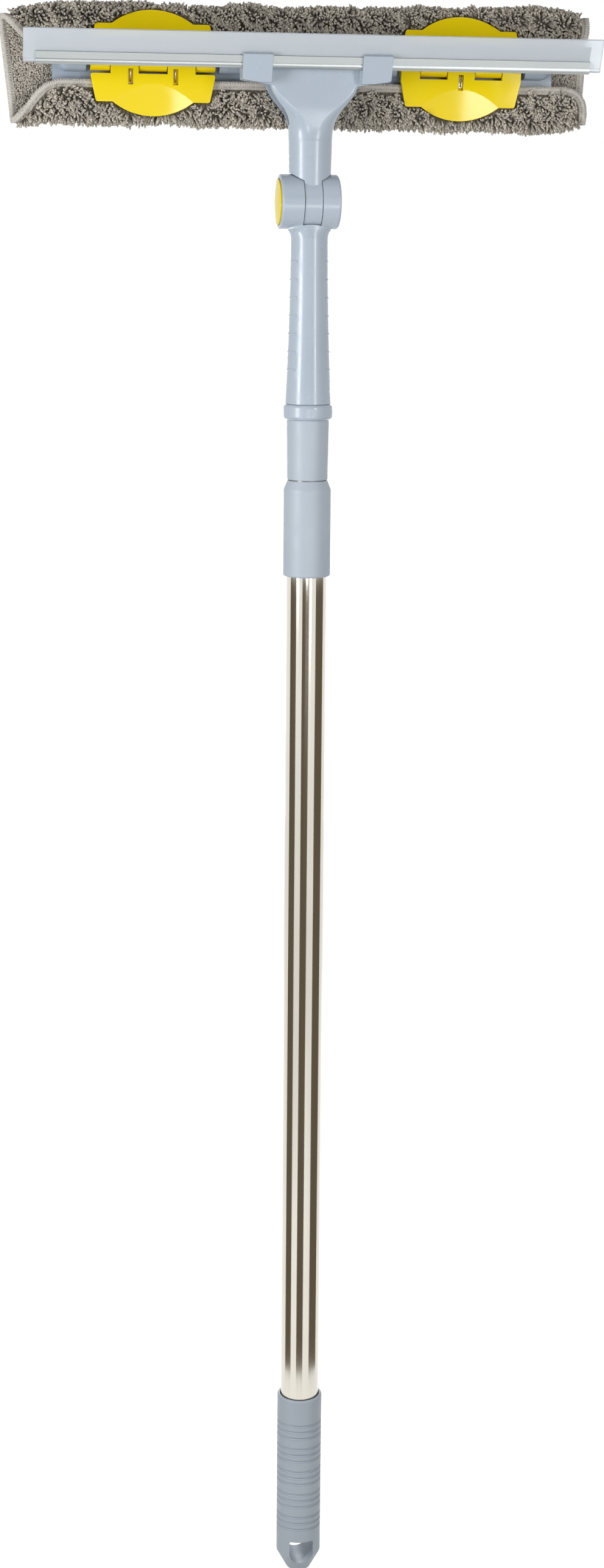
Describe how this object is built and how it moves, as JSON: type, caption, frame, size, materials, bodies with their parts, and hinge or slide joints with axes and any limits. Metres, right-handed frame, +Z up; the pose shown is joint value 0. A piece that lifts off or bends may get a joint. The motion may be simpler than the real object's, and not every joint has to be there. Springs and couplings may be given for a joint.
{
  "type": "window cleaning squeegee",
  "caption": "Window squeegee on a telescopic pole: a tilting head with a rubber blade in front and a looped cloth pad held by sprung clamp flaps behind it.",
  "frame": {"origin": "on the pole's axis, halfway up the straight wall of the grip", "axes": "+X along the blade to the right, -Y towards the blade's side, +Z up the pole to the head"},
  "size_m": [0.315, 0.0539, 0.8969],
  "materials": {
    "grip": "matte moulded polypropylene",
    "shell": "glossy moulded ABS",
    "yellow": "glossy moulded ABS",
    "white_plastic": "moulded nylon",
    "steel_tube": "polished stainless steel",
    "fastener": "zinc-plated steel",
    "wire": "drawn spring steel",
    "rail": "satin extruded aluminium",
    "blade": "milky silicone",
    "cloth": "looped microfibre"
  },
  "bodies": {
    "lower_pole": {"pole_grip": "grip", "outer_tube": "steel_tube", "lock_sleeve": "grip"},
    "lock_ring": {"lock_ring": "white_plastic"},
    "upper_pole": {"inner_tube": "steel_tube", "lock_core": "white_plastic", "top_connector": "grip", "handle_collar": "shell", "short_handle": "shell", "pivot_bolt": "fastener", "pivot_nut": "fastener", "lock_spring": "wire"},
    "lock_button": {"lock_button": "yellow"},
    "head": {"head_bracket": "shell", "frame_screws": "fastener", "blade_rail": "rail", "squeegee_blade": "blade", "pad_frame": "shell", "cloth_pad": "cloth", "left_clamp_pin": "fastener", "right_clamp_pin": "fastener", "left_clamp_spring": "wire", "right_clamp_spring": "wire"},
    "lock_plug": {"lock_plug": "white_plastic"},
    "left_lower_flap": {"left_lower_flap": "yellow"},
    "left_upper_flap": {"left_upper_flap": "yellow"},
    "right_lower_flap": {"right_lower_flap": "yellow"},
    "right_upper_flap": {"right_upper_flap": "yellow"}
  },
  "joints": [
    {"name": "pole_extend", "type": "slide", "parent": "lower_pole", "child": "lock_ring", "axis": [0, 0, 1], "range_m": [0, 0.4]},
    {"name": "pole_twist", "type": "hinge", "parent": "lock_ring", "child": "upper_pole", "pos_m": [0, 0, 0.6], "axis": [0, 0, 1], "range_deg": [0, 120]},
    {"name": "head_tilt", "type": "hinge", "parent": "upper_pole", "child": "head", "pos_m": [0, 0, 0.7329], "axis": [1, 0, 0], "range_deg": [-90, 90]},
    {"name": "button_press", "type": "slide", "parent": "upper_pole", "child": "lock_button", "axis": [1, 0, 0], "range_m": [0, 0.003], "stiffness_N_per_m": 1500, "springref_m": -0.002, "deforming": ["lock_spring"]},
    {"name": "plug_slide", "type": "slide", "parent": "head", "child": "lock_plug", "axis": [1, 0, 0], "range_m": [0, 0.003]},
    {"name": "left_lower_clamp", "type": "hinge", "parent": "head", "child": "left_lower_flap", "pos_m": [-0.08165, 0.0092, 0.8021], "axis": [-1, 0, 0], "range_deg": [0, 55], "stiffness_Nm_per_rad": 0.3, "springref_deg": -34.38, "deforming": ["left_clamp_spring"]},
    {"name": "left_upper_clamp", "type": "hinge", "parent": "head", "child": "left_upper_flap", "pos_m": [-0.08165, 0.0092, 0.8021], "axis": [1, 0, 0], "range_deg": [0, 55], "stiffness_Nm_per_rad": 0.3, "springref_deg": -34.38, "deforming": ["left_clamp_spring"]},
    {"name": "right_lower_clamp", "type": "hinge", "parent": "head", "child": "right_lower_flap", "pos_m": [0.08165, 0.0092, 0.8021], "axis": [-1, 0, 0], "range_deg": [0, 55], "stiffness_Nm_per_rad": 0.3, "springref_deg": -34.38, "deforming": ["right_clamp_spring"]},
    {"name": "right_upper_clamp", "type": "hinge", "parent": "head", "child": "right_upper_flap", "pos_m": [0.08165, 0.0092, 0.8021], "axis": [1, 0, 0], "range_deg": [0, 55], "stiffness_Nm_per_rad": 0.3, "springref_deg": -34.38, "deforming": ["right_clamp_spring"]}
  ],
  "couplings": [
    {"joint": "plug_slide", "follows": "button_press", "ratio": 1}
  ]
}
